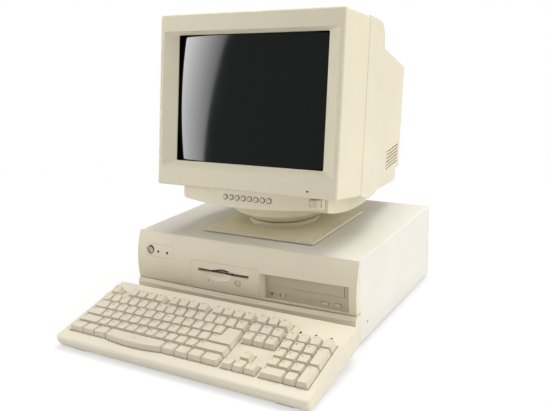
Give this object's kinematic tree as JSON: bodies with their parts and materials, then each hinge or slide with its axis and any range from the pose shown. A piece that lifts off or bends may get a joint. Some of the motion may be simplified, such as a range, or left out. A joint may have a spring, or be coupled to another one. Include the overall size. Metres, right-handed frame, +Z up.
{
  "type": "vintage home computer",
  "caption": "Desktop home computer: low system unit with disc drives, tube monitor on a tilt-and-swivel stand, and a full-size keyboard on flip feet.",
  "frame": {"origin": "on the desk under the middle of the whole set's box", "axes": "+X to the right along the front, +Y to the rear, +Z up"},
  "size_m": [0.45, 0.5944, 0.5038],
  "materials": {
    "case_plastic": "fine-grained moulded warm beige",
    "button_plastic": "moulded beige",
    "drive_plastic": "moulded beige",
    "painted_steel": "textured beige enamel",
    "zinc_steel": "zinc-plated sheet",
    "screw_steel": "zinc-plated",
    "lamp_lens": "clear tinted",
    "rubber": "moulded matt",
    "fan_plastic": "moulded black",
    "circuit_board": "lacquered board",
    "cast_aluminium": "cast and machined",
    "speaker_black": "pressed paper and steel",
    "ribbon_cable": "flat grey insulation",
    "monitor_plastic": "fine-grained moulded cream beige",
    "tube_glass": "dark polished face glass",
    "keyboard_plastic": "fine-grained moulded cream beige",
    "switch_film": "polyester film",
    "key_plastic": "fine-grained moulded cream"
  },
  "bodies": {
    "system_unit": {"base_pads": "rubber", "case_cover": "painted_steel", "case_feet": "rubber", "case_lights": "lamp_lens", "case_pan": "zinc_steel", "case_speaker": "speaker_black", "cd_drive": "drive_plastic", "cover_screws": "screw_steel", "drive_cables": "ribbon_cable", "drive_cage": "zinc_steel", "floppy_drive": "zinc_steel", "front_bezel": "case_plastic", "hard_disk": "cast_aluminium", "main_board": "circuit_board", "memory_modules": "circuit_board", "power_supply": "zinc_steel", "processor_heat_sink": "cast_aluminium", "riser_card": "circuit_board", "slot_covers": "zinc_steel", "swivel_base": "monitor_plastic"},
    "swivel": {"swivel_slider": "monitor_plastic"},
    "monitor": {"monitor_bezel": "monitor_plastic", "monitor_rear_cover": "monitor_plastic", "picture_tube": "tube_glass", "tube_screws": "screw_steel", "deflection_yoke": "fan_plastic", "neck_board": "circuit_board", "monitor_board": "circuit_board", "monitor_light": "lamp_lens", "tilt_bowl": "monitor_plastic"},
    "keyboard": {"keyboard_top_shell": "keyboard_plastic", "keyboard_bottom_shell": "keyboard_plastic", "key_plate": "keyboard_plastic", "switch_sheet": "switch_film", "lock_lamps": "lamp_lens", "keyboard_pads": "rubber"},
    "power_button": {"power_button": "button_plastic"},
    "floppy_eject_button": {"floppy_eject_button": "button_plastic"},
    "cd_tray": {"cd_tray": "drive_plastic"},
    "cd_play_button": {"cd_play_button": "button_plastic"},
    "cd_eject_button": {"cd_eject_button": "button_plastic"},
    "cd_volume_wheel": {"cd_volume_wheel": "case_plastic"},
    "power_supply_fan": {"power_supply_fan": "fan_plastic"},
    "monitor_power_button": {"monitor_power_button": "button_plastic"},
    "control_buttons": {"control_buttons": "button_plastic"},
    "keyboard_foot_left": {"keyboard_foot_left": "keyboard_plastic"},
    "keyboard_foot_right": {"keyboard_foot_right": "keyboard_plastic"},
    "escape_key": {"escape_key": "key_plastic"},
    "function_keys": {"function_keys": "key_plastic"},
    "number_row_keys": {"number_row_keys": "key_plastic"},
    "upper_letter_keys": {"upper_letter_keys": "key_plastic"},
    "home_row_keys": {"home_row_keys": "key_plastic"},
    "lower_letter_keys": {"lower_letter_keys": "key_plastic"},
    "modifier_keys": {"modifier_keys": "key_plastic"},
    "space_bar": {"space_bar": "key_plastic"},
    "shift_keys": {"shift_keys": "key_plastic"},
    "enter_key": {"enter_key": "key_plastic"},
    "navigation_keys": {"navigation_keys": "key_plastic"},
    "arrow_keys": {"arrow_keys": "key_plastic"},
    "keypad_keys": {"keypad_keys": "key_plastic"}
  },
  "joints": [
    {"name": "monitor_swivel", "type": "hinge", "parent": "system_unit", "child": "swivel", "pos_m": [0.007, 0.04476, 0.28287], "axis": [0, 0, 1], "range_deg": [-45, 45]},
    {"name": "monitor_tilt", "type": "hinge", "parent": "swivel", "child": "monitor", "pos_m": [0.007, 0.04476, 0.28287], "axis": [1, 0, 0], "range_deg": [-5, 12]},
    {"name": "power_push", "type": "slide", "parent": "system_unit", "child": "power_button", "axis": [0, 1, 0], "range_m": [0, 0.0025], "stiffness_N_per_m": 300, "springref_m": -0.003},
    {"name": "floppy_eject_push", "type": "slide", "parent": "system_unit", "child": "floppy_eject_button", "axis": [0, 1, 0], "range_m": [0, 0.006], "stiffness_N_per_m": 200, "springref_m": -0.003},
    {"name": "cd_tray_slide", "type": "slide", "parent": "system_unit", "child": "cd_tray", "axis": [0, -1, 0], "range_m": [0, 0.128]},
    {"name": "cd_play_push", "type": "slide", "parent": "system_unit", "child": "cd_play_button", "axis": [0, 1, 0], "range_m": [0, 0.0012], "stiffness_N_per_m": 400, "springref_m": -0.001},
    {"name": "cd_eject_push", "type": "slide", "parent": "system_unit", "child": "cd_eject_button", "axis": [0, 1, 0], "range_m": [0, 0.0012], "stiffness_N_per_m": 400, "springref_m": -0.001},
    {"name": "cd_volume_turn", "type": "hinge", "parent": "system_unit", "child": "cd_volume_wheel", "pos_m": [0.0825, -0.09934, 0.0671], "axis": [0, 0, 1], "range_deg": [0, 270]},
    {"name": "power_supply_fan_spin", "type": "hinge", "parent": "system_unit", "child": "power_supply_fan", "pos_m": [0.154, 0.22876, 0.05], "axis": [0, 1, 0], "continuous": true},
    {"name": "monitor_power_push", "type": "slide", "parent": "monitor", "child": "monitor_power_button", "axis": [0, 0.9863, -0.165], "range_m": [0, 0.003], "stiffness_N_per_m": 300, "springref_m": -0.003},
    {"name": "control_button_push", "type": "slide", "parent": "monitor", "child": "control_buttons", "axis": [0, 0.9863, -0.165], "range_m": [0, 0.0012], "stiffness_N_per_m": 500, "springref_m": -0.001},
    {"name": "keyboard_pull", "type": "slide", "parent": "system_unit", "child": "keyboard", "axis": [0, -1, 0], "range_m": [0, 0.15]},
    {"name": "keyboard_foot_left_fold", "type": "hinge", "parent": "keyboard", "child": "keyboard_foot_left", "pos_m": [-0.18, -0.14758, 0.02236], "axis": [1, 0, 0], "range_deg": [-84, 0]},
    {"name": "keyboard_foot_right_fold", "type": "hinge", "parent": "keyboard", "child": "keyboard_foot_right", "pos_m": [0.18, -0.14758, 0.02236], "axis": [1, 0, 0], "range_deg": [-84, 0]},
    {"name": "escape_key_press", "type": "slide", "parent": "keyboard", "child": "escape_key", "axis": [0, 0.2113, -0.9774], "range_m": [0, 0.0036], "stiffness_N_per_m": 90, "springref_m": -0.003},
    {"name": "function_keys_press", "type": "slide", "parent": "keyboard", "child": "function_keys", "axis": [0, 0.2113, -0.9774], "range_m": [0, 0.0036], "stiffness_N_per_m": 1080, "springref_m": -0.003},
    {"name": "number_row_keys_press", "type": "slide", "parent": "keyboard", "child": "number_row_keys", "axis": [0, 0.2113, -0.9774], "range_m": [0, 0.0036], "stiffness_N_per_m": 1350, "springref_m": -0.003},
    {"name": "upper_letter_keys_press", "type": "slide", "parent": "keyboard", "child": "upper_letter_keys", "axis": [0, 0.2113, -0.9774], "range_m": [0, 0.0036], "stiffness_N_per_m": 1170, "springref_m": -0.003},
    {"name": "home_row_keys_press", "type": "slide", "parent": "keyboard", "child": "home_row_keys", "axis": [0, 0.2113, -0.9774], "range_m": [0, 0.0036], "stiffness_N_per_m": 1080, "springref_m": -0.003},
    {"name": "lower_letter_keys_press", "type": "slide", "parent": "keyboard", "child": "lower_letter_keys", "axis": [0, 0.2113, -0.9774], "range_m": [0, 0.0036], "stiffness_N_per_m": 900, "springref_m": -0.003},
    {"name": "modifier_keys_press", "type": "slide", "parent": "keyboard", "child": "modifier_keys", "axis": [0, 0.2113, -0.9774], "range_m": [0, 0.0036], "stiffness_N_per_m": 630, "springref_m": -0.003},
    {"name": "space_bar_press", "type": "slide", "parent": "keyboard", "child": "space_bar", "axis": [0, 0.2113, -0.9774], "range_m": [0, 0.0036], "stiffness_N_per_m": 160, "springref_m": -0.003},
    {"name": "shift_keys_press", "type": "slide", "parent": "keyboard", "child": "shift_keys", "axis": [0, 0.2113, -0.9774], "range_m": [0, 0.0036], "stiffness_N_per_m": 180, "springref_m": -0.003},
    {"name": "enter_key_press", "type": "slide", "parent": "keyboard", "child": "enter_key", "axis": [0, 0.2113, -0.9774], "range_m": [0, 0.0036], "stiffness_N_per_m": 90, "springref_m": -0.003},
    {"name": "navigation_keys_press", "type": "slide", "parent": "keyboard", "child": "navigation_keys", "axis": [0, 0.2113, -0.9774], "range_m": [0, 0.0036], "stiffness_N_per_m": 810, "springref_m": -0.003},
    {"name": "arrow_keys_press", "type": "slide", "parent": "keyboard", "child": "arrow_keys", "axis": [0, 0.2113, -0.9774], "range_m": [0, 0.0036], "stiffness_N_per_m": 360, "springref_m": -0.003},
    {"name": "keypad_keys_press", "type": "slide", "parent": "keyboard", "child": "keypad_keys", "axis": [0, 0.2113, -0.9774], "range_m": [0, 0.0036], "stiffness_N_per_m": 1530, "springref_m": -0.003}
  ]
}
